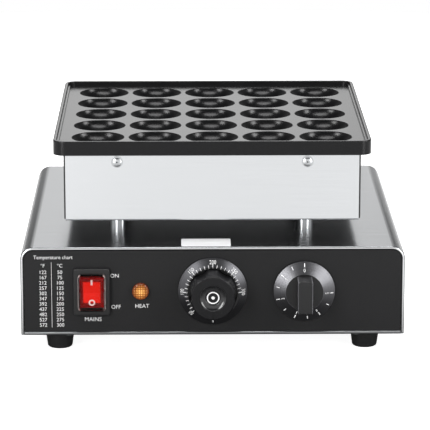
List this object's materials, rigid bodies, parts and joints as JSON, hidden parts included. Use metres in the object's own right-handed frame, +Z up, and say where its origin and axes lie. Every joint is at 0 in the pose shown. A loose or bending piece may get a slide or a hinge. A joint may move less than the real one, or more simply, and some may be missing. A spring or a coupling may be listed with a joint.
{
  "type": "mini pancake maker",
  "caption": "Free-standing electric mini pancake maker: a black dimpled cast plate on a steel heater case, held by columns above a low base with switch, lamp, thermostat and timer.",
  "frame": {"origin": "on the floor under the feet, midway between the foremost grip and the end of the cable gland", "axes": "+Z up; the controls face -Y; +X to the right as the user sees it"},
  "size_m": [0.32, 0.3488, 0.178],
  "materials": {
    "nonstick_cast": "black non-stick coating on a cast plate, satin",
    "case_steel": "bright satin stainless sheet",
    "base_steel": "brushed stainless sheet, brushed from side to side",
    "polished_steel": "polished turned steel",
    "panel_black": "fine matte black powder coat",
    "knob_black": "satin black moulding",
    "switch_black": "black moulding",
    "switch_red": "translucent red moulding",
    "cap_clear": "clear soft moulding",
    "lamp_amber": "translucent amber moulding with a waffle pattern",
    "foot_rubber": "black moulded rubber",
    "fixing_steel": "plated steel fasteners",
    "heater_sheath": "heat-tinted steel sheath",
    "works_steel": "plated steel housing of the works",
    "copper": "bare copper",
    "brass_fixing": "plain brass",
    "block_ceramic": "white porcelain",
    "lead_sleeve": "heat-proof sleeve over stranded wire"
  },
  "bodies": {
    "housing": {"baking_plate": "nonstick_cast", "heater_case": "case_steel", "end_panel_left": "case_steel", "end_panel_right": "case_steel", "case_screws": "fixing_steel", "case_washers": "fixing_steel", "clamp_screws": "fixing_steel", "bulb_clip_screw": "fixing_steel", "column_nuts": "fixing_steel", "cover_screws": "fixing_steel", "panel_screws": "fixing_steel", "foot_screws": "fixing_steel", "foot_nuts": "fixing_steel", "thermostat_screws": "fixing_steel", "timer_screws": "fixing_steel", "terminal_block_screws": "fixing_steel", "clamp_bar_left": "fixing_steel", "clamp_bar_right": "fixing_steel", "bulb_clip": "fixing_steel", "heating_element_front": "heater_sheath", "heating_element_back": "heater_sheath", "thermostat_bulb": "copper", "capillary_tube": "copper", "column_front_left": "polished_steel", "column_front_right": "polished_steel", "column_back_left": "polished_steel", "column_back_right": "polished_steel", "base_cover": "base_steel", "back_panel": "base_steel", "bottom_plate": "base_steel", "front_panel": "panel_black", "foot_front_left": "foot_rubber", "foot_front_right": "foot_rubber", "foot_back_left": "foot_rubber", "foot_back_right": "foot_rubber", "switch_housing": "switch_black", "splash_frame": "switch_black", "lamp_body": "switch_black", "lamp_nut": "switch_black", "cord_gland": "switch_black", "gland_nut": "switch_black", "switch_terminals": "brass_fixing", "earth_stud": "brass_fixing", "earth_nuts": "brass_fixing", "splash_cap": "cap_clear", "lamp_lens": "lamp_amber", "thermostat_scale_ring": "knob_black", "thermostat_body": "works_steel", "timer_body": "works_steel", "terminal_block": "block_ceramic", "heater_leads": "lead_sleeve", "switch_leads": "lead_sleeve", "lamp_leads": "lead_sleeve"},
    "rocker": {"switch_rocker": "switch_red"},
    "thermostat_dial": {"thermostat_knob": "knob_black", "thermostat_spindle": "fixing_steel"},
    "timer_dial": {"timer_knob": "knob_black", "timer_spindle": "fixing_steel"}
  },
  "joints": [
    {"name": "rocker_tip", "type": "hinge", "parent": "housing", "child": "rocker", "pos_m": [-0.1006, -0.1484, 0.055], "axis": [-1, 0, 0], "range_deg": [0, 20]},
    {"name": "thermostat_turn", "type": "hinge", "parent": "housing", "child": "thermostat_dial", "pos_m": [0, -0.1494, 0.055], "axis": [0, 1, 0], "range_deg": [0, 270]},
    {"name": "timer_turn", "type": "hinge", "parent": "housing", "child": "timer_dial", "pos_m": [0.0762, -0.1494, 0.055], "axis": [0, 1, 0], "range_deg": [0, 267]}
  ]
}
